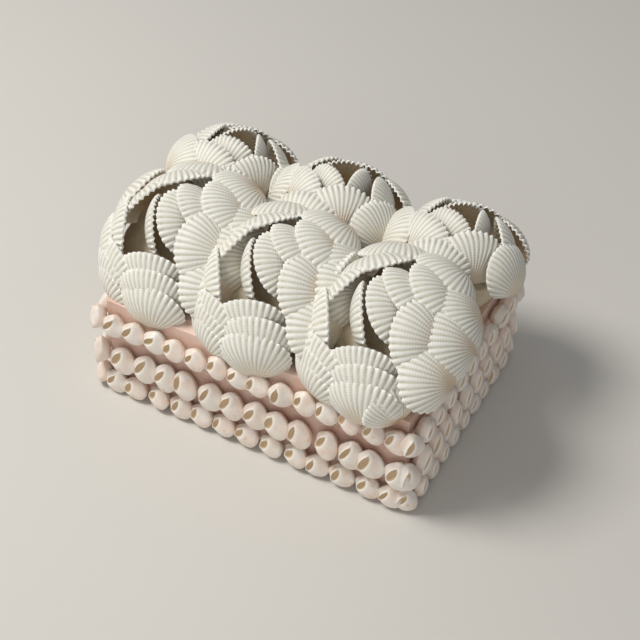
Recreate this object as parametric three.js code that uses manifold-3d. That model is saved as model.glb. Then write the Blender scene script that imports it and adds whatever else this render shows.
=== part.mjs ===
// A shell box: a board tray and its lift-off lid, three rows of small sea snail shells
// round the walls, and six rosettes of ribbed ark shell valves on the lid.
// Millimetres, +Z up, origin in the middle of the tray's underside, front towards -Y.
import * as THREE from "three";
import { ConvexGeometry } from "three/addons/geometries/ConvexGeometry.js";
import { mergeVertices } from "three/addons/utils/BufferGeometryUtils.js";
import Module from "manifold-3d";

const wasm = await Module();
wasm.setup();

// Board box
const WALL_X = 67.7; // outer face of the side walls
const WALL_Y = 47; // outer face of the front and back walls
const BOARD = 3;
const SEAM_Z = 27.3; // top of the tray's outer wall
const LID_TOP_Z = 45;
const LIP_RISE = 9; // the tray's inner lip stands this far up inside the lid
const LIP_BOARD = 1.4;
const GAP = 0.3; // between pieces that touch

// Small shells on the walls
const SHELL_DEPTH = 6.8; // how far a shell stands out from its wall
const SHELL_SIDES = 5;
const CORNER_X = 71;
const CORNER_Y = 50;
const CORNER_WIDTH = 9;
const ROWS = [
  { name: "lid", z: 32.3, height: 11, acrossFront: 14, endX: 64.4, acrossSide: 9, endY: 40.6 },
  { name: "upper", z: 12.4, height: 15, acrossFront: 13, endX: 64, acrossSide: 9, endY: 40.6 },
  { name: "lower", z: 0.5, height: 11.4, acrossFront: 13, endX: 64, acrossSide: 9, endY: 40.6 },
];
const TOUCH = 1.25; // a shell's width over the pitch, so that neighbours touch

// Ark shell valves
const VALVE = { height: 22, width: 30, depth: 7.5, wall: 1.2 };
const VALVE_FAN = THREE.MathUtils.degToRad(80); // ribs fan this far to each side of the beak
const BEAK_RISE = 0.6; // angle on the valve's arched profile at which the beak starts
const OVAL_RISE = 0.54; // half height of the outline's oval, over the valve's height
const FAN_COLUMNS = { outer: 4, inner: 3 };
const FAN_ROWS = 2;
const ROW_TOLERANCE = 0.15;
const ROSETTE_TOLERANCE = 0.4;

// Rings of valves in a rosette: margin radius and height over the rosette's base,
// lean in towards its axis, and size
const RINGS = [
  { radius: 22, height: 18.5, lean: 14, size: 1 },
  { radius: 17.5, height: 22, lean: 12, size: 0.98 },
  { radius: 12.5, height: 24, lean: 8, size: 0.9 },
];
const RING_TURNS = [0, 22, 48];
const HEART = [
  { radius: 8, height: 23.5, lean: 4, size: 0.78, turn: 60 },
];

// Cement bed under a rosette: radius, flare out to its edge, heights over the rosette's base
const BED = { foot: 15, radius: 27, low: -22, rim: 5, floor: 9, sides: 8 };

// Rosettes: place of the base's middle, scale, lean of the axis and the way it leans,
// first valve's direction, roll of each valve, valves per ring, and loose valves outside
const ROSETTES = [
  {
    name: "front_right", at: [49, -26, 59], scale: 1, lean: 26, towards: -95, turn: -77, roll: 10,
    counts: [7, 5, 4],
    extra: [
      { turn: -50, radius: 27, height: 14, lean: 15, size: 0.9, roll: 0 },
      { turn: 8, radius: 28, height: 11, lean: 8, size: 0.9, roll: 0 },
    ],
  },
  {
    name: "front_middle", at: [-3, -25, 58], scale: 1, lean: 26, towards: -90, turn: -83, roll: 10,
    counts: [7, 5, 4],
    extra: [
      { turn: -65, radius: 27, height: 14, lean: 15, size: 0.85, roll: 0 },
      { turn: -125, radius: 30, height: 18, lean: 0, size: 0.95, roll: 20 },
    ],
  },
  {
    name: "front_left", at: [-51, -22, 58], scale: 0.97, lean: 24, towards: -100, turn: -92, roll: 9,
    counts: [7, 5, 4],
    extra: [
      { turn: -68, radius: 25, height: 13, lean: 15, size: 0.9, roll: 0 },
      { turn: 172, radius: 28, height: 11, lean: 8, size: 0.9, roll: 0 },
    ],
  },
  {
    name: "rear_right", at: [50, 29, 59], scale: 0.88, lean: 20, towards: 85, turn: -90, roll: 9,
    counts: [7, 5],
    extra: [
      { turn: -160, radius: 30, height: 20, lean: 5, size: 1, roll: -10 },
      { turn: -135, radius: 33, height: 22, lean: 5, size: 1, roll: 0 },
      { turn: 5, radius: 27, height: 10, lean: 10, size: 0.9, roll: 0 },
      { turn: 75, radius: 27, height: 12, lean: 10, size: 0.9, roll: 0 },
    ],
  },
  {
    name: "rear_middle", at: [-4, 31, 59], scale: 0.86, lean: 20, towards: 90, turn: -100, roll: 10,
    counts: [7, 5], extra: [],
  },
  {
    name: "rear_left", at: [-55, 33, 59], scale: 0.84, lean: 20, towards: 90, turn: -75, roll: 9,
    counts: [7, 5],
    extra: [
      { turn: 105, radius: 27, height: 12, lean: 10, size: 0.9, roll: 0 },
      { turn: 175, radius: 27, height: 10, lean: 10, size: 0.9, roll: 0 },
    ],
  },
];

const rad = THREE.MathUtils.degToRad;

// A geometry as a solid: shared vertices merged, and triangles that closed up left out.
function solidOf(geometry) {
  const bare = new THREE.BufferGeometry().setAttribute(
    "position",
    (geometry.index ? geometry.toNonIndexed() : geometry).getAttribute("position"),
  );
  const merged = mergeVertices(bare, 1e-4);
  const corners = [...merged.index.array];
  const triangles = [];
  for (let i = 0; i < corners.length; i += 3) {
    const [a, b, c] = corners.slice(i, i + 3);
    if (a !== b && b !== c && c !== a) triangles.push(a, b, c);
  }
  return new wasm.Manifold(
    new wasm.Mesh({
      numProp: 3,
      vertProperties: merged.attributes.position.array,
      triVerts: new Uint32Array(triangles),
    }),
  );
}

function meshOf(name, solid, material) {
  const made = solid.getMesh();
  const geometry = new THREE.BufferGeometry()
    .setAttribute("position", new THREE.BufferAttribute(new Float32Array(made.vertProperties), 3))
    .setIndex(new THREE.BufferAttribute(new Uint32Array(made.triVerts), 1));
  geometry.computeVertexNormals();
  const mesh = new THREE.Mesh(geometry, material);
  mesh.name = name;
  return mesh;
}

function join(solids) {
  return solids.reduce((a, b) => a.add(b));
}

// A block between two corners.
function block(low, high) {
  const size = high.map((h, i) => h - low[i]);
  const middle = high.map((h, i) => (h + low[i]) / 2);
  return solidOf(new THREE.BoxGeometry(...size).translate(...middle));
}

// ---- board box ----

function tray() {
  const inX = WALL_X - BOARD;
  const inY = WALL_Y - BOARD;
  const lipX = inX + GAP;
  const lipY = inY + GAP;
  const outer = block([-WALL_X, -WALL_Y, 0], [WALL_X, WALL_Y, SEAM_Z]);
  const lip = block([-inX + GAP, -inY + GAP, BOARD], [inX - GAP, inY - GAP, SEAM_Z + LIP_RISE]);
  const roomX = lipX - LIP_BOARD - 2 * GAP;
  const roomY = lipY - LIP_BOARD - 2 * GAP;
  const room = block([-roomX, -roomY, BOARD], [roomX, roomY, LID_TOP_Z]);
  return outer.add(lip).subtract(room);
}

function lid() {
  const inX = WALL_X - BOARD;
  const inY = WALL_Y - BOARD;
  const low = SEAM_Z + GAP;
  return block([-WALL_X, -WALL_Y, low], [WALL_X, WALL_Y, LID_TOP_Z]).subtract(
    block([-inX, -inY, low - BOARD], [inX, inY, LID_TOP_Z - BOARD]),
  );
}

// ---- small shells ----

// A pear-shaped snail shell standing on its round belly, its spire up.
function snail(width, height) {
  const profile = [
    [0, 0],
    [0.46, 0.2],
    [0.4, 0.55],
    [0, 1],
  ].map(([r, z]) => new THREE.Vector2(r, z));
  return new THREE.LatheGeometry(profile, SHELL_SIDES, Math.PI / 2)
    .rotateX(Math.PI / 2)
    .scale(width, SHELL_DEPTH, height);
}

// One straight row of shells along a wall. The row runs along +X with its shells facing -Y,
// and is then turned onto its wall.
function shellRow(row, count, end, wall, turn, corners) {
  const pitch = (2 * end) / (count - 1);
  const shells = [];
  for (let i = 0; i < count; i++)
    shells.push(
      snail(pitch * TOUCH, row.height).translate(-end + i * pitch, -wall - GAP - SHELL_DEPTH / 2, row.z),
    );
  if (corners)
    for (const side of [-1, 1])
      shells.push(
        snail(CORNER_WIDTH, row.height)
          .rotateZ(rad(45 * side))
          .translate(CORNER_X * side, -CORNER_Y, row.z),
      );
  return join(shells.map((shell) => solidOf(shell.rotateZ(turn)))).simplify(ROW_TOLERANCE);
}

// ---- rosettes ----

// Distance from the beak to the margin along a rib: the outline is an oval that the beak
// sits just inside.
function ribLength(angle, height, width) {
  const a = width / 2;
  const b = OVAL_RISE * height;
  const middle = height - b;
  const s = Math.sin(angle) / a;
  const c = Math.cos(angle) / b;
  const k = middle / b;
  return (c * k + Math.sqrt(c * c * k * k - (s * s + c * c) * (k * k - 1))) / (s * s + c * c);
}

// A point of a valve: x across, y from the beak to the margin, z out of the hollow.
// "along" runs from 0 at the beak to 1 at the margin, and "inset" is how deep in the wall.
function valvePoint(angle, along, inset, flat, { height, width, depth }) {
  const reach = ribLength(angle, height, width) - inset;
  const arch = BEAK_RISE + (Math.PI - BEAK_RISE) * along;
  const out = (reach * (Math.cos(BEAK_RISE) - Math.cos(arch))) / (Math.cos(BEAK_RISE) + 1);
  const beak = Math.sin(BEAK_RISE) * (1 - along);
  const side = Math.cos(0.95 * angle) ** 0.8;
  const rise = flat ? 0 : (depth - inset) * (side * (Math.sin(arch) - beak) + beak);
  return new THREE.Vector3(out * Math.sin(angle), out * Math.cos(angle), rise);
}

// The cement bed that a rosette's beaks are set in: a mound that narrows to its foot on the lid.
function bed(rosette) {
  const frame = rosettePlace(rosette);
  const profile = [
    [0, BED.low],
    [BED.foot, BED.low],
    [BED.radius, 0],
    [BED.radius, BED.rim],
    [0, BED.floor],
  ].map(([x, y]) => new THREE.Vector2(x, y).multiplyScalar(rosette.scale));
  return new THREE.LatheGeometry(profile, BED.sides).rotateX(Math.PI / 2).applyMatrix4(frame);
}

// A valve is a box of one layer bent to the fan: its front is the ribbed outside,
// its back the hollow.
function valve(size, columns, filled) {
  const shape = {
    height: VALVE.height * size,
    width: VALVE.width * size,
    depth: VALVE.depth * size,
  };
  const geometry = new THREE.BoxGeometry(1, 1, 1, columns, FAN_ROWS, 1);
  const place = geometry.getAttribute("position");
  for (let i = 0; i < place.count; i++) {
    const angle = 2 * place.getX(i) * VALVE_FAN;
    const inside = place.getZ(i) < 0;
    const inset = inside && !filled ? VALVE.wall : 0;
    const p = valvePoint(angle, place.getY(i) + 0.5, inset, inside && filled, shape);
    place.setXYZ(i, p.x, p.y, p.z);
  }
  return geometry;
}

// The matrix that stands a valve in its rosette: margin's middle at a radius and height,
// the beak below it and further out, the hollow towards the axis.
function valvePlace({ turn, radius, height, lean, size, roll }) {
  const out = new THREE.Vector3(Math.cos(rad(turn)), Math.sin(rad(turn)), 0);
  const up = new THREE.Vector3(0, 0, 1);
  const along = up.clone().multiplyScalar(Math.cos(rad(lean))).addScaledVector(out, -Math.sin(rad(lean)));
  const face = out.clone().multiplyScalar(Math.cos(rad(lean))).addScaledVector(up, Math.sin(rad(lean)));
  const across = along.clone().cross(face);
  const rolled = new THREE.Matrix4().makeRotationAxis(along, rad(roll));
  across.applyMatrix4(rolled);
  face.applyMatrix4(rolled);
  const beak = out.multiplyScalar(radius).addScaledVector(up, height).addScaledVector(along, -VALVE.height * size);
  return new THREE.Matrix4().makeBasis(across, along, face).setPosition(beak);
}

function valveList({ counts, turn, roll, scale, extra }) {
  const list = [];
  counts.forEach((count, r) => {
    for (let i = 0; i < count; i++)
      list.push({
        ...RINGS[r],
        turn: turn + RING_TURNS[r] + (360 / count) * i,
        roll,
        columns: r ? FAN_COLUMNS.inner : FAN_COLUMNS.outer,
        filled: r > 0,
      });
  });
  for (const v of HEART) list.push({ ...v, turn: turn + v.turn, roll: 0, columns: FAN_COLUMNS.inner });
  for (const v of extra) list.push({ ...v, columns: FAN_COLUMNS.outer });
  return list.map((v) => ({
    ...v,
    radius: v.radius * scale,
    height: v.height * scale,
    size: v.size * scale,
  }));
}

// The frame of a rosette: its axis leans from upright towards a compass direction.
function rosettePlace({ at, lean, towards }) {
  const axis = new THREE.Vector3(
    Math.sin(rad(lean)) * Math.cos(rad(towards)),
    Math.sin(rad(lean)) * Math.sin(rad(towards)),
    Math.cos(rad(lean)),
  );
  const right = new THREE.Vector3(0, 1, 0).cross(axis).normalize();
  return new THREE.Matrix4().makeBasis(right, axis.clone().cross(right), axis).setPosition(...at);
}

function valves(rosette) {
  const frame = rosettePlace(rosette);
  return valveList(rosette).map((v) => valve(v.size, v.columns, v.filled).applyMatrix4(frame.clone().multiply(valvePlace(v))));
}

// The space a rosette fills, a little enlarged, which its neighbours keep out of.
function spaceOf(geometries) {
  const points = geometries.flatMap((g) => {
    const p = g.getAttribute("position");
    return Array.from({ length: p.count }, (_, i) => new THREE.Vector3().fromBufferAttribute(p, i));
  });
  const middle = new THREE.Box3().setFromPoints(points).getCenter(new THREE.Vector3());
  for (const p of points) p.add(p.clone().sub(middle).normalize().multiplyScalar(GAP));
  return solidOf(new ConvexGeometry(points));
}

function largest(solid) {
  return solid.decompose().sort((a, b) => b.volume() - a.volume())[0];
}

function rosettes() {
  const sky = block([-200, -200, LID_TOP_Z + GAP], [200, 200, 200]);
  const taken = [];
  return ROSETTES.map((rosette) => {
    const parts = [bed(rosette), ...valves(rosette)];
    let solid = join(parts.map(solidOf)).intersect(sky);
    for (const space of taken) solid = solid.subtract(space);
    solid = solid.simplify(ROSETTE_TOLERANCE);
    taken.push(spaceOf(parts));
    return [rosette.name, largest(solid)];
  });
}

// ---- the object ----

const board = new THREE.MeshStandardMaterial({ color: 0xd9b3a0, roughness: 0.85, metalness: 0 });
const snailShell = new THREE.MeshStandardMaterial({ color: 0xf1e4d8, roughness: 0.45, metalness: 0 });
const arkShell = new THREE.MeshStandardMaterial({ color: 0xf1efe6, roughness: 0.6, metalness: 0 });

const shellBox = new THREE.Group();
shellBox.add(meshOf("tray", tray(), board));
shellBox.add(meshOf("lid", lid(), board));
for (const row of ROWS) {
  const walls = [
    ["front", row.acrossFront, row.endX, WALL_Y, 0, true],
    ["right", row.acrossSide, row.endY, WALL_X, rad(90), false],
    ["back", row.acrossFront, row.endX, WALL_Y, rad(180), true],
    ["left", row.acrossSide, row.endY, WALL_X, rad(-90), false],
  ];
  for (const [side, count, end, wall, turn, corners] of walls)
    shellBox.add(
      meshOf(`${row.name}_row_${side}`, shellRow(row, count, end, wall, turn, corners), snailShell),
    );
}
for (const [name, solid] of rosettes())
  shellBox.add(meshOf(`rosette_${name}`, solid, arkShell));

export default shellBox;
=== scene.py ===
"""A shell box: a painted board box with a lift-off lid, rows of small sea snail shells
round its walls, and rosettes of ribbed ark shell valves on its lid."""

import math
import random

import bmesh
import bpy
from mathutils import Matrix, Vector


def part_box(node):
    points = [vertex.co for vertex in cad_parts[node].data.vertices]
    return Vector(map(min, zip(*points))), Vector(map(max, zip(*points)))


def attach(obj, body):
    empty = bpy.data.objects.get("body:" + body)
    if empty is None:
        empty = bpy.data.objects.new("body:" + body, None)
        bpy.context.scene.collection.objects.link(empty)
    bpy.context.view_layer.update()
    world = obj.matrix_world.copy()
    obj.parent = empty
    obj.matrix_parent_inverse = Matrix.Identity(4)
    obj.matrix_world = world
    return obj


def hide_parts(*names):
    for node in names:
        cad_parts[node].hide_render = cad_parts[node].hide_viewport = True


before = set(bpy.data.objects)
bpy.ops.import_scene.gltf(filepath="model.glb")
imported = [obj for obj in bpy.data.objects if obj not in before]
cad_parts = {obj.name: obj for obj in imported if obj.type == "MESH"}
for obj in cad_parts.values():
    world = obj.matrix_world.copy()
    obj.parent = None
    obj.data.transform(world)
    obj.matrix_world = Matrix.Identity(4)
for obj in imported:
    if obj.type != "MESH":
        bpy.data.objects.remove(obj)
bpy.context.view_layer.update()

MM = 0.001
SHARP_EDGE = math.radians(55)

# ---- sizes, in millimetres as on the CAD drawing ----

GAP = 0.3  # between the board and the backs of the snail shells
SNAIL_DEPTH = 7.4
SNAIL_FACES = (16, 11)  # round the mouth, and from the mouth to the back
# Along the long walls a row has so many shells between two places, along the short walls
# so many up to a distance either way; width is a share of the spacing
SNAIL_ROWS = {
    "lid": {"across": 14, "from_x": -62.4, "to_x": 65.2, "side": 9, "end_y": 40.6, "width": 1.14},
    "upper": {"across": 13, "from_x": -59.4, "to_x": 66.8, "side": 9, "end_y": 40.6, "width": 1.16},
    "lower": {"across": 13, "from_x": -64.0, "to_x": 65.4, "side": 9, "end_y": 40.6, "width": 1.1},
}
CORNER = (70.6, 49.6)  # where the shells on the corners stand, either way from the middle
CORNER_WIDTH = 10.5
SNAIL_WIDTH_SPREAD = 0.05  # shares of a shell's width
SNAIL_TIP_SPREAD = 6  # degrees
SNAIL_YAW_SPREAD = 9
SNAIL_SHIFT = 0.3

VALVE = {"height": 22.0, "width": 30.0, "depth": 8.0, "wall": 1.1}
VALVE_FAN = math.radians(80)
BEAK_ARCH = 0.6  # angles on the valve's arched profile at its beak and at its margin
MARGIN_ARCH = 2.8
OVAL_RISE = 0.54  # half the outline's oval, as a share of the height
RIB_COUNTS = (21, 22, 23)
COLUMNS_PER_RIB = 4
GROWTH_ROWS = 11
ROW_CROWDING = 1.35  # above 1, the grid's rows crowd towards the margin
RIB_HEIGHT = 0.5
RIB_SHARPNESS = 1.2
TOOTH = 1.1  # from the bottom of a notch in the margin to its tooth's tip
MARGIN_BAND = 0.78  # the share of the way to the margin where its teeth begin
BEAK_FULLNESS = 0.8

DOME = 25  # height of a rosette's margins at its axis, and how they fall away from it
DOME_FALL = 58

# Valves of an open rosette: the direction and radius where the margin stands, the compass
# it faces, how far it leans in, roll, and size
OPEN_VALVES = [
    (-79, 26, -84, 16, 0, 1), (-76, 21, -80, 16, 0, 1), (-81, 15.5, -80, 16, 0, 0.95),
    (-38, 23, 5, 42, -6, 1), (-20, 13, 12, 40, -8, 1), (0, 23, 20, 36, -5, 1),
    (24, 25, 35, 30, 0, 1), (42, 18, 40, 32, 0, 1), (49, 9.7, 45, 28, 0, 0.95),
    (58, 26, 60, 30, 0, 1), (100, 26, 100, 25, 0, 1), (109, 16.5, 125, 26, 0, 1),
    (150, 22, 165, 25, 0, 1), (140, 13, 150, 20, 0, 0.95),
    (-166, 15, -153, 20, 0, 1), (-150, 22, -150, 18, 0, 1),
    (-124, 20, -118, 12, 0, 1), (-126, 25, -118, 9, 0, 0.95), (-121, 29, -118, 4, 0, 0.85),
    (-150, 1, 205, 5, 0, 0.95), (60, 1, 25, 32, 0, 0.95),
]
# Rings of a closed one: count, past its turn, radius, lean, roll, size
CLOSED_RINGS = [(5, 0, 21, 22, 8, 1), (5, 36, 14, 18, 8, 1), (3, 95, 6, 6, 6, 0.85)]
PLACING_SPREAD = 2  # degrees that a valve may stand off from its listed place
BED = {"foot": 17, "radius": 26, "low": -16, "rim": 0, "top": 6}
BED_SIDES = 24
BED_LIFT = 0.2  # off the lid

ROSETTES = {
    "front_left": {
        "at": (-53, -16, 58), "scale": 1, "lean": 26, "towards": -105, "turn": -4,
        "open": True, "extra": [],
    },
    "front_middle": {
        "at": (-6, -21, 58.5), "scale": 1, "lean": 26, "towards": -105, "turn": 3,
        "open": True, "extra": [],
    },
    "front_right": {
        "at": (43, -24, 60), "scale": 1, "lean": 26, "towards": -105, "turn": 0,
        "open": True, "extra": [(-60, 30, -38, 2, 0, 0.8)],
    },
    "rear_left": {
        "at": (-54, 31, 60), "scale": 0.9, "lean": 14, "towards": 60, "turn": -75,
        "open": False, "extra": [],
    },
    "rear_middle": {
        "at": (-4, 31, 60), "scale": 0.94, "lean": 14, "towards": 90, "turn": -100,
        "open": False, "extra": [],
    },
    "rear_right": {
        "at": (50, 30, 60), "scale": 0.94, "lean": 14, "towards": 85, "turn": -90,
        "open": False, "extra": [],
    },
}


# ---- materials ----

def colour(code):
    """An sRGB hex colour as a linear one."""
    parts = [int(code[i:i + 2], 16) / 255 for i in (0, 2, 4)]
    return [c / 12.92 if c <= 0.04045 else ((c + 0.055) / 1.055) ** 2.4 for c in parts] + [1]


def add(tree, kind, inputs=None, **settings):
    """Adds a node with its settings, and values or links for its inputs."""
    made = tree.nodes.new(kind)
    for name, value in settings.items():
        setattr(made, name, value)
    for name, value in (inputs or {}).items():
        if isinstance(value, bpy.types.NodeSocket):
            tree.links.new(value, made.inputs[name])
        else:
            made.inputs[name].default_value = value
    return made


def per_mm(size):
    """The scale of a pattern on Object coordinates whose features are that many mm apart."""
    return 1 / (size * MM)


def new_material(name):
    material = bpy.data.materials.new(name)
    material.use_nodes = True
    tree = material.node_tree
    tree.nodes.clear()
    output = add(tree, "ShaderNodeOutputMaterial")
    shader = add(tree, "ShaderNodeBsdfPrincipled")
    tree.links.new(shader.outputs[0], output.inputs[0])
    return material, tree, shader


def mix(tree, factor, a, b, how="MIX"):
    """One colour laid over another."""
    return add(
        tree, "ShaderNodeMix", {0: factor, 6: a, 7: b}, data_type="RGBA", blend_type=how
    ).outputs[2]


def painted_board():
    """Strawboard with a coat of salmon distemper: matt, a little chalky, with faint fibres
    and brush marks."""
    material, tree, shader = new_material("salmon_distempered_board")
    place = add(tree, "ShaderNodeTexCoord").outputs["Object"]
    cloud = add(tree, "ShaderNodeTexNoise", {"Vector": place, "Scale": per_mm(14), "Detail": 4.0})
    grain = add(tree, "ShaderNodeTexNoise", {"Vector": place, "Scale": per_mm(0.9), "Detail": 5.0})
    tone = add(tree, "ShaderNodeMapRange", {
        "Value": cloud.outputs[0], "From Min": 0.35, "From Max": 0.65})
    paint = mix(tree, tone.outputs[0], colour("DDB7A4"), colour("EACDBE"))
    fleck = add(tree, "ShaderNodeMapRange", {
        "Value": grain.outputs[0], "From Min": 0.4, "From Max": 0.62, "To Min": 0.0, "To Max": 0.35})
    paint = mix(tree, fleck.outputs[0], paint, colour("F0DCD0"))
    bump = add(tree, "ShaderNodeBump", {
        "Height": grain.outputs[0], "Strength": 0.5, "Distance": 0.25 * MM})
    tree.links.new(paint, shader.inputs["Base Color"])
    tree.links.new(bump.outputs[0], shader.inputs["Normal"])
    shader.inputs["Roughness"].default_value = 0.85
    shader.inputs["IOR"].default_value = 1.45
    return material


def ark_shell():
    """Sun-bleached ark shell, aragonite: chalky white ribs with fine growth lines across
    them, grooves painted greyer as shade, tan stains by the beak, a smoother cream hollow
    painted darker tan deeper in as shade, and a margin painted whiter as a highlight."""
    material, tree, shader = new_material("bleached_ark_shell")
    place = add(tree, "ShaderNodeTexCoord").outputs["Object"]
    growth = add(tree, "ShaderNodeAttribute", attribute_name="growth")
    parts = add(tree, "ShaderNodeSeparateXYZ", {0: growth.outputs["Vector"]})
    hollow, along, crest = parts.outputs
    lot = add(tree, "ShaderNodeAttribute", attribute_name="lot").outputs["Fac"]
    cloud = add(tree, "ShaderNodeTexNoise", {"Vector": place, "Scale": per_mm(7), "Detail": 4.0})
    chalk = add(tree, "ShaderNodeTexNoise", {"Vector": place, "Scale": per_mm(0.8), "Detail": 3.0})
    # The grooves between the ribs are painted greyer and darker than the crests: painted shade in the
    # grooves
    outside = mix(tree, crest, colour("C9C4B0"), colour("F7F5EE"))
    mottle = add(tree, "ShaderNodeMapRange", {
        "Value": cloud.outputs[0], "From Min": 0.4, "From Max": 0.7, "To Min": 0.0, "To Max": 0.35})
    outside = mix(tree, mottle.outputs[0], outside, colour("E9E3D2"))
    # Tan stain near the beak, on some valves more than on others
    near_beak = add(tree, "ShaderNodeMapRange", {
        "Value": along, "From Min": 0.6, "From Max": 0.05, "To Min": 0.0, "To Max": 1.0})
    stain = add(tree, "ShaderNodeMath", {0: near_beak.outputs[0], 1: cloud.outputs[0]},
                operation="MULTIPLY")
    stain = add(tree, "ShaderNodeMath", {0: stain.outputs[0], 1: lot}, operation="MULTIPLY")
    stain = add(tree, "ShaderNodeMath", {0: stain.outputs[0], 1: 1.7}, operation="MULTIPLY",
                use_clamp=True)
    outside = mix(tree, stain.outputs[0], outside, colour("D7AC73"))
    # The hollow is cream by the margin and painted darker tan deeper in towards the beak: painted shade
    # in the hollow
    painted_hollow_shade = add(tree, "ShaderNodeMapRange", {
        "Value": along, "From Min": 0.95, "From Max": 0.3})
    inside = mix(tree, painted_hollow_shade.outputs[0], colour("EFE7D6"), colour("CDB48D"))
    body = mix(tree, hollow, outside, inside)
    # The margin is painted whitest: a painted highlight where the rim's edge catches the light
    margin = add(tree, "ShaderNodeMapRange", {
        "Value": along, "From Min": 0.93, "From Max": 1.0, "To Min": 0.0, "To Max": 0.75})
    body = mix(tree, margin.outputs[0], body, colour("FBF9F3"))
    lines = add(tree, "ShaderNodeMath", {0: along, 1: 150.0}, operation="MULTIPLY")
    lines = add(tree, "ShaderNodeMath", {0: lines.outputs[0]}, operation="SINE")
    height = add(tree, "ShaderNodeMath", {0: lines.outputs[0], 1: 0.35, 2: chalk.outputs[0]},
                 operation="MULTIPLY_ADD")
    bump = add(tree, "ShaderNodeBump", {
        "Height": height.outputs[0], "Strength": 0.35, "Distance": 0.25 * MM})
    tree.links.new(body, shader.inputs["Base Color"])
    tree.links.new(bump.outputs[0], shader.inputs["Normal"])
    shader.inputs["Roughness"].default_value = 0.5
    shader.inputs["IOR"].default_value = 1.5
    return material


def snail_shell_finish():
    """Bleached dog whelk, aragonite: smooth peachy white with a low polish, faint ribs along
    the spire, orange stains, and a tan mouth inside a pale lip."""
    material, tree, shader = new_material("bleached_dog_whelk")
    place = add(tree, "ShaderNodeTexCoord").outputs["Object"]
    growth = add(tree, "ShaderNodeAttribute", attribute_name="growth")
    parts = add(tree, "ShaderNodeSeparateXYZ", {0: growth.outputs["Vector"]})
    mouth, upward, lip = parts.outputs
    lot = add(tree, "ShaderNodeAttribute", attribute_name="lot").outputs["Fac"]
    whorl = add(tree, "ShaderNodeAttribute", attribute_name="whorl").outputs["Vector"]
    cloud = add(tree, "ShaderNodeTexNoise", {"Vector": place, "Scale": per_mm(6), "Detail": 4.0})
    body = mix(tree, lot, colour("F2E4D8"), colour("EFE9E0"))
    blush = add(tree, "ShaderNodeMapRange", {
        "Value": cloud.outputs[0], "From Min": 0.42, "From Max": 0.66, "To Min": 0.0, "To Max": 0.6})
    body = mix(tree, blush.outputs[0], body, colour("E6CBB6"))
    spots = add(tree, "ShaderNodeTexNoise", {"Vector": place, "Scale": per_mm(4), "Detail": 3.0})
    stain = add(tree, "ShaderNodeMapRange", {
        "Value": spots.outputs[0], "From Min": 0.62, "From Max": 0.78, "To Min": 0.0, "To Max": 0.7})
    body = mix(tree, stain.outputs[0], body, colour("DDA877"))
    body = mix(tree, lip, body, colour("F8F2E8"))
    body = mix(tree, mouth, body, colour("CDB18C"))
    ribs = add(tree, "ShaderNodeTexWave", {
        "Vector": whorl, "Scale": 3.6, "Distortion": 0.6, "Detail": 1.0}, bands_direction="X")
    fine = add(tree, "ShaderNodeTexNoise", {"Vector": place, "Scale": per_mm(1.2), "Detail": 3.0})
    height = add(tree, "ShaderNodeMath", {0: ribs.outputs["Fac"], 1: 0.35, 2: fine.outputs[0]},
                 operation="MULTIPLY_ADD")
    bump = add(tree, "ShaderNodeBump", {
        "Height": height.outputs[0], "Strength": 0.25, "Distance": 0.3 * MM})
    tree.links.new(body, shader.inputs["Base Color"])
    tree.links.new(bump.outputs[0], shader.inputs["Normal"])
    shader.inputs["Roughness"].default_value = 0.42
    shader.inputs["IOR"].default_value = 1.5
    return material


def cement_finish():
    """Plaster cement spread by hand: matt, grainy, cream with grey."""
    material, tree, shader = new_material("plaster_cement")
    place = add(tree, "ShaderNodeTexCoord").outputs["Object"]
    grain = add(tree, "ShaderNodeTexNoise", {"Vector": place, "Scale": per_mm(2), "Detail": 6.0})
    body = mix(tree, grain.outputs[0], colour("C0B193"), colour("E2D8C2"))
    bump = add(tree, "ShaderNodeBump", {
        "Height": grain.outputs[0], "Strength": 0.6, "Distance": 0.6 * MM})
    tree.links.new(body, shader.inputs["Base Color"])
    tree.links.new(bump.outputs[0], shader.inputs["Normal"])
    shader.inputs["Roughness"].default_value = 0.9
    return material


BOARD = painted_board()
ARK = ark_shell()
SNAIL = snail_shell_finish()
CEMENT = cement_finish()


# ---- pieces ----

def start_shells():
    """An empty bmesh with the layers that shell materials read."""
    bm = bmesh.new()
    layers = (
        bm.verts.layers.float_vector.new("growth"),
        bm.verts.layers.float.new("lot"),
        bm.verts.layers.float_vector.new("whorl"),
    )
    return bm, layers


def finish_piece(name, bm, material, nodes=()):
    """A smooth-shaded piece of that name, in the CAD nodes' place."""
    for v in bm.verts:
        v.co *= MM
    mesh = bpy.data.meshes.new(name)
    bm.to_mesh(mesh)
    bm.free()
    mesh.polygons.foreach_set("use_smooth", [True] * len(mesh.polygons))
    mesh.set_sharp_from_angle(angle=SHARP_EDGE)
    mesh.materials.append(material)
    piece = bpy.data.objects.new(name, mesh)
    bpy.context.scene.collection.objects.link(piece)
    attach(piece, "root")
    if nodes:
        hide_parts(*nodes)
    return piece


def smooth_step(low, high, x):
    x = min(1, max(0, (x - low) / (high - low)))
    return x * x * (3 - 2 * x)


def rib_length(angle, height, width):
    """From the beak to the margin along a rib: the outline is an oval that the beak sits
    just inside."""
    a = width / 2
    b = OVAL_RISE * height
    k = (height - b) / b
    s = math.sin(angle) / a
    c = math.cos(angle) / b
    return (c * k + math.sqrt(c * c * k * k - (s * s + c * c) * (k * k - 1))) / (s * s + c * c)


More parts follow.
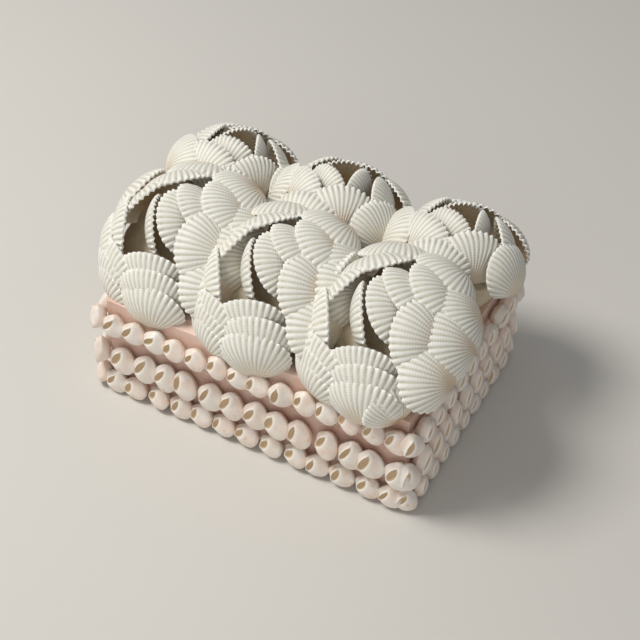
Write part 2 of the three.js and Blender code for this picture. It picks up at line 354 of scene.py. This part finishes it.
def ark_valve(bm, layers, place, size, rng):
    """One valve: a grid bent to a ribbed fan, given a wall, and set in place."""
    growth, lot, _ = layers
    height = VALVE["height"] * size
    width = VALVE["width"] * size
    depth = VALVE["depth"] * size
    ribs = rng.choice(RIB_COUNTS)
    stain = rng.random()
    columns = ribs * COLUMNS_PER_RIB
    arch_span = math.cos(BEAK_ARCH) - math.cos(MARGIN_ARCH)
    sheet = bmesh.ops.create_grid(bm, x_segments=columns, y_segments=GROWTH_ROWS, size=1)["verts"]
    for v in sheet:
        v[growth] = v.co
    faces = list({f for v in sheet for f in v.link_faces})
    wall = bmesh.ops.extrude_face_region(bm, geom=faces, use_keep_orig=True)["geom"]
    outer = {e for e in wall if isinstance(e, bmesh.types.BMVert)}
    for v in [*sheet, *outer]:
        x, y, _ = v[growth]
        outside = v in outer
        along = 1 - (1 - (y + 1) / 2) ** ROW_CROWDING
        angle = x * VALVE_FAN
        crest = abs(math.cos(math.pi * (x + 1) / 2 * ribs)) ** RIB_SHARPNESS
        edge = smooth_step(MARGIN_BAND, 1, along)
        reach = rib_length(angle, height, width) + TOOTH * (crest - 0.5) * edge
        arch = BEAK_ARCH + (MARGIN_ARCH - BEAK_ARCH) * along
        out = reach * (math.cos(BEAK_ARCH) - math.cos(arch)) / arch_span
        chord = math.sin(BEAK_ARCH) * (1 - along) + math.sin(MARGIN_ARCH) * along
        side = math.cos(0.95 * angle) ** 0.8
        beak_rise = BEAK_FULLNESS * math.sin(BEAK_ARCH) * (1 - along)
        rise = depth * (side * (math.sin(arch) - chord) + beak_rise)
        corrugation = RIB_HEIGHT * (crest - 0.4) * along ** 0.8
        if outside:
            rise += corrugation
        else:
            wall_here = VALVE["wall"] * (1 - 0.15 * edge)
            out *= 1 - wall_here * (1 - 0.5 * edge) / reach
            rise = rise * (1 - wall_here / depth) - 0.6 * wall_here * edge
            rise += corrugation * smooth_step(0.2, 0.9, along)
        v.co = place @ Vector((out * math.sin(angle), out * math.cos(angle), rise))
        # The third value, the rib crest, also drives the painted shade in the grooves in the material
        v[growth] = (0 if outside else 1, along, crest)
        v[lot] = stain
    made = {f for v in [*sheet, *outer] for f in v.link_faces}
    bmesh.ops.recalc_face_normals(bm, faces=list(made))


def valve_place(rng, direction, radius, facing, lean, roll, size):
    """Stands a valve in its rosette with the middle of its margin on the dome."""
    where, turn, lean, roll = (
        math.radians(angle + rng.uniform(-PLACING_SPREAD, PLACING_SPREAD))
        for angle in (direction, facing, lean, roll))
    up = Vector((0, 0, 1))
    out = Vector((math.cos(turn), math.sin(turn), 0))
    along = up * math.cos(lean) - out * math.sin(lean)
    face = out * math.cos(lean) + up * math.sin(lean)
    face = Matrix.Rotation(roll, 3, along) @ face
    tip = Vector((
        radius * math.cos(where), radius * math.sin(where), DOME - radius ** 2 / DOME_FALL))
    beak = tip - along * VALVE["height"] * size
    turned = Matrix((along.cross(face), along, face)).transposed().to_4x4()
    return Matrix.Translation(beak) @ turned


def valve_list(rosette):
    """Direction, radius, facing, lean, roll and size of every valve of a rosette."""
    if rosette["open"]:
        yield from OPEN_VALVES
    else:
        for count, past, radius, lean, roll, size in CLOSED_RINGS:
            for i in range(count):
                direction = past + 360 / count * i
                yield direction, radius, direction, lean, roll, size
    yield from rosette["extra"]


def rosette_frame(rosette):
    """A rosette's axis leans from upright towards a compass direction."""
    lean = math.radians(rosette["lean"])
    towards = math.radians(rosette["towards"])
    axis = Vector((
        math.sin(lean) * math.cos(towards), math.sin(lean) * math.sin(towards), math.cos(lean)))
    right = Vector((0, 1, 0)).cross(axis).normalized()
    turned = Matrix((right, axis.cross(right), axis)).transposed().to_4x4()
    return Matrix.Translation(rosette["at"]) @ turned


def make_rosette(name, rosette):
    bm, layers = start_shells()
    rng = random.Random(name)
    stand = rosette_frame(rosette)
    scale = rosette["scale"]
    turn = rosette["turn"]
    for direction, radius, facing, lean, roll, size in valve_list(rosette):
        place = valve_place(rng, direction + turn, radius, facing + turn, lean, roll, size)
        ark_valve(bm, layers, stand @ Matrix.Scale(scale, 4) @ place, size, rng)
    finish_piece(f"{name}_rosette", bm, ARK, [f"rosette_{name}"])
    make_bed(name, stand, scale)


def make_bed(name, stand, scale):
    """The mound of cement that the beaks of a rosette's valves are set in."""
    bm = bmesh.new()
    profile = [
        (0, BED["top"]), (BED["radius"] * 0.6, BED["top"] * 0.8), (BED["radius"], BED["rim"]),
        (BED["radius"] * 0.9, BED["rim"] - 6), (BED["foot"], BED["low"]), (0, BED["low"]),
    ]
    ends = [bm.verts.new((x, 0, z)) for x, z in profile]
    edges = [bm.edges.new(pair) for pair in zip(ends, ends[1:])]
    bmesh.ops.spin(bm, geom=ends + edges, cent=(0, 0, 0), axis=(0, 0, 1), angle=2 * math.pi,
                   steps=BED_SIDES, use_merge=True)
    bmesh.ops.remove_doubles(bm, verts=bm.verts, dist=0.01)
    bmesh.ops.recalc_face_normals(bm, faces=bm.faces)
    bmesh.ops.transform(bm, matrix=stand @ Matrix.Scale(scale, 4), verts=bm.verts)
    bmesh.ops.bisect_plane(bm, geom=bm.verts[:] + bm.edges[:] + bm.faces[:], clear_outer=True,
                           plane_co=(0, 0, LID_TOP + BED_LIFT), plane_no=(0, 0, -1))
    bmesh.ops.holes_fill(bm, edges=[e for e in bm.edges if e.is_boundary])
    bmesh.ops.recalc_face_normals(bm, faces=bm.faces)
    finish_piece(f"{name}_cement", bm, CEMENT)


def pear(turn):
    """Half width of a snail shell's outline at an angle from upright, for a shell one wide:
    round below, with a spire above and the flare of the lip to its left."""
    turn = (turn + math.pi) % (2 * math.pi) - math.pi
    spire = 0.36 * math.exp(-(abs(turn) / 0.42) ** 1.5)
    flare = 0.09 * math.exp(-((turn + 0.85) / 0.5) ** 2)
    return 0.5 + spire + flare


PEAR_MIDDLE = 0.5  # the height of the outline's middle and of its tip, for a shell one wide
PEAR_TOP = 1.36
SILL = 1.14  # how far out the band round the mouth reaches, as a share of the mouth
# Rings from the depth of the mouth to the back: kind, share of the way out, and how far
# forward the surface stands on the lip's side and on the pillar's side
SNAIL_RINGS = [
    ("mouth", 0.0, 0.25, 0.25),
    ("mouth", 0.55, 0.25, 0.28),
    ("mouth", 0.85, 0.3, 0.36),
    ("mouth", 1.0, 0.42, 0.0),
    ("mouth", SILL, 0.4, 0.0),
    ("body", 0.2, 0.24, 0.0),
    ("body", 0.55, 0.1, 0.0),
    ("body", 0.85, 0.03, 0.0),
    ("body", 1.0, 0.0, 0.0),
    ("back", 0.8, -0.32, -0.32),
    ("back", 0.45, -0.44, -0.44),
    ("back", 0.0, -0.46, -0.46),
]
BELLY = (0.06, 0.4)  # where the shell stands out most, as shares of its width
BELLY_HEIGHT = 0.5


def snail_shell(bm, layers, place, rng):
    """One snail shell, mouth towards -Y and spire up: a ball whose poles are the mouth's
    depth and the back, drawn out to a pear with a long mouth behind a thin outer lip."""
    growth, lot, whorl = layers
    around, rings = SNAIL_FACES
    ball = bmesh.ops.create_uvsphere(bm, u_segments=around, v_segments=rings, radius=1)["verts"]
    mouth_x = -0.19 + rng.uniform(-0.03, 0.03)
    mouth_z = 0.76 + rng.uniform(-0.04, 0.04)
    tilt = math.radians(20 + rng.uniform(-7, 8))
    half_wide = 0.12 + rng.uniform(-0.02, 0.03)
    half_tall = 0.4 + rng.uniform(-0.05, 0.04)
    tint = rng.random()
    faces = set()
    for v in ball:
        ring = round(rings * math.acos(max(-1, min(1, v.co.z))) / math.pi)
        turn = math.atan2(v.co.y, v.co.x)
        kind, share, lip_side, pillar_side = SNAIL_RINGS[ring]
        # The mouth's loop is an oval that leans towards the tip
        a = math.sin(turn) * half_wide
        b = math.cos(turn) * half_tall
        reach = share if kind == "mouth" else SILL
        loop_x = mouth_x + (a * math.cos(tilt) + b * math.sin(tilt)) * reach
        loop_z = mouth_z + (b * math.cos(tilt) - a * math.sin(tilt)) * reach
        rim_x = pear(turn) * math.sin(turn)
        rim_z = PEAR_MIDDLE + pear(turn) * math.cos(turn)
        if kind == "mouth":
            x, z = loop_x, loop_z
        elif kind == "body":
            x = loop_x + (rim_x - loop_x) * share
            z = loop_z + (rim_z - loop_z) * share
        else:
            x = rim_x * share
            z = PEAR_MIDDLE + (rim_z - PEAR_MIDDLE) * share
        away = Vector((x - BELLY[0], z - BELLY[1]))
        limit = pear(math.atan2(x, z - PEAR_MIDDLE)) * 1.02
        bulge = BELLY_HEIGHT * math.sqrt(max(0, 1 - min(1, away.length / limit) ** 2.4))
        left = smooth_step(0.45, -0.35, math.sin(turn))
        if kind == "back":
            stand = lip_side
        elif kind == "mouth" and share < 1:
            stand = lip_side * left + pillar_side * (1 - left)
        else:
            stand = max(bulge, lip_side * left)
        v.co = place @ Vector((x, -stand, z / PEAR_TOP))
        hollow = kind == "mouth" and share < 1
        lip = kind == "mouth" and share >= 1
        v[growth] = (float(hollow), z, float(lip))
        v[lot] = tint
        v[whorl] = (x, -stand, z)
        faces.update(v.link_faces)
    bmesh.ops.recalc_face_normals(bm, faces=list(faces))


def snail_row(row, side, turn, low, high):
    """A row of snail shells along one wall, with a shell on each corner of the long walls."""
    bm, layers = start_shells()
    name = f"{row}_row_{side}"
    rng = random.Random(name)
    spec = SNAIL_ROWS[row]
    long_wall = side in ("front", "back")
    count = spec["across"] if long_wall else spec["side"]
    first = spec["from_x"] if long_wall else -spec["end_y"]
    last = spec["to_x"] if long_wall else spec["end_y"]
    wall = WALL_Y if long_wall else WALL_X
    pitch = (last - first) / (count - 1)
    wall_turn = Matrix.Rotation(turn, 4, "Z")
    middle_y = -wall - GAP - SNAIL_DEPTH / 2
    stands = [
        (Matrix.Translation((first + i * pitch, middle_y, low)), spec["width"] * pitch)
        for i in range(count)
    ]
    if long_wall:
        for way in (-1, 1):
            corner = Matrix.Translation((CORNER[0] * way, -CORNER[1], low))
            stands.append((corner @ Matrix.Rotation(math.radians(45 * way), 4, "Z"), CORNER_WIDTH))
    for stand, width in stands:
        width *= rng.uniform(1 - SNAIL_WIDTH_SPREAD, 1 + SNAIL_WIDTH_SPREAD)
        height = (high - low) * rng.uniform(0.94, 1.04)
        tip = Matrix.Rotation(math.radians(rng.gauss(0, SNAIL_TIP_SPREAD)), 4, "Y")
        yaw = Matrix.Rotation(math.radians(rng.gauss(0, SNAIL_YAW_SPREAD)), 4, "Z")
        aside = rng.uniform(-SNAIL_SHIFT, SNAIL_SHIFT)
        lift = Matrix.Translation((aside, 0, rng.uniform(-SNAIL_SHIFT, SNAIL_SHIFT) + SNAIL_SHIFT))
        place = wall_turn @ stand @ lift @ yaw @ tip @ Matrix.Diagonal((width, SNAIL_DEPTH, height, 1))
        snail_shell(bm, layers, place, rng)
    piece = finish_piece(f"{row}_whelks_{side}", bm, SNAIL, [name])
    smooth = piece.modifiers.new("rounding", "SUBSURF")
    smooth.levels = smooth.render_levels = 1


tray_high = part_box("tray")[1] / MM
LID_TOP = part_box("lid")[1].z / MM
WALL_X = tray_high.x
WALL_Y = tray_high.y

for node in ("tray", "lid"):
    for material_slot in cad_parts[node].material_slots:
        material_slot.material = BOARD

for row in SNAIL_ROWS:
    for side, turn in (("front", 0), ("right", math.pi / 2), ("back", math.pi), ("left", -math.pi / 2)):
        row_low, row_high = (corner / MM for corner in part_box(f"{row}_row_{side}"))
        snail_row(row, side, turn, row_low.z, row_high.z)

for name, rosette in ROSETTES.items():
    make_rosette(name, rosette)


# ---- floor, camera and light ----

CAMERA = {
    "at": (190.66, -367.02, 413.04), "azimuth": 0.468, "elevation": 0.750, "roll": 0.036,
    "lens": 75.97, "sensor": 36,
}
AIM = Vector((0, 0, 0.04))  # where the lamps point


def make_floor():
    bm = bmesh.new()
    bmesh.ops.create_grid(bm, x_segments=1, y_segments=1, size=3)
    mesh = bpy.data.meshes.new("floor")
    bm.to_mesh(mesh)
    bm.free()
    material, tree, shader = new_material("pale_paper")
    place = add(tree, "ShaderNodeTexCoord").outputs["Object"]
    tone = add(tree, "ShaderNodeTexNoise", {"Vector": place, "Scale": 3.0})
    paper = mix(tree, tone.outputs[0], colour("D6D2CB"), colour("DCD8D1"))
    tree.links.new(paper, shader.inputs["Base Color"])
    shader.inputs["Roughness"].default_value = 0.8
    mesh.materials.append(material)
    floor = bpy.data.objects.new("floor", mesh)
    bpy.context.scene.collection.objects.link(floor)


def make_camera():
    azimuth, elevation, roll = CAMERA["azimuth"], CAMERA["elevation"], CAMERA["roll"]
    looking = Vector((
        -math.sin(azimuth) * math.cos(elevation),
        math.cos(azimuth) * math.cos(elevation),
        -math.sin(elevation)))
    right = looking.cross(Vector((0, 0, 1))).normalized()
    up = right.cross(looking)
    turned = Matrix((
        right * math.cos(roll) + up * math.sin(roll),
        up * math.cos(roll) - right * math.sin(roll),
        -looking)).transposed().to_4x4()
    data = bpy.data.cameras.new("camera")
    data.sensor_width = CAMERA["sensor"]
    data.lens = CAMERA["lens"]
    data.clip_start = 0.01
    camera = bpy.data.objects.new("camera", data)
    camera.matrix_world = Matrix.Translation(Vector(CAMERA["at"]) * MM) @ turned
    bpy.context.scene.collection.objects.link(camera)
    bpy.context.scene.camera = camera


def soft_light(name, at, size, watts, tint):
    data = bpy.data.lights.new(name, "AREA")
    data.shape = "DISK"
    data.size = size
    data.energy = watts
    data.color = tint
    lamp = bpy.data.objects.new(name, data)
    lamp.matrix_world = (
        Matrix.Translation(at)
        @ (AIM - Vector(at)).to_track_quat("-Z", "Y").to_matrix().to_4x4()
    )
    bpy.context.scene.collection.objects.link(lamp)


make_floor()
make_camera()
soft_light("window", at=(-0.55, -0.25, 0.95), size=0.45, watts=8.6, tint=(1.0, 0.985, 0.95))
soft_light("fill", at=(0.3, -1.1, 0.5), size=1.2, watts=3, tint=(1.0, 0.98, 0.95))
world = bpy.data.worlds.new("studio")
world.use_nodes = True
world.node_tree.nodes["Background"].inputs["Color"].default_value = (0.93, 0.96, 1.0, 1)
world.node_tree.nodes["Background"].inputs["Strength"].default_value = 0.27
bpy.context.scene.world = world
bpy.context.scene.view_settings.view_transform = "Standard"
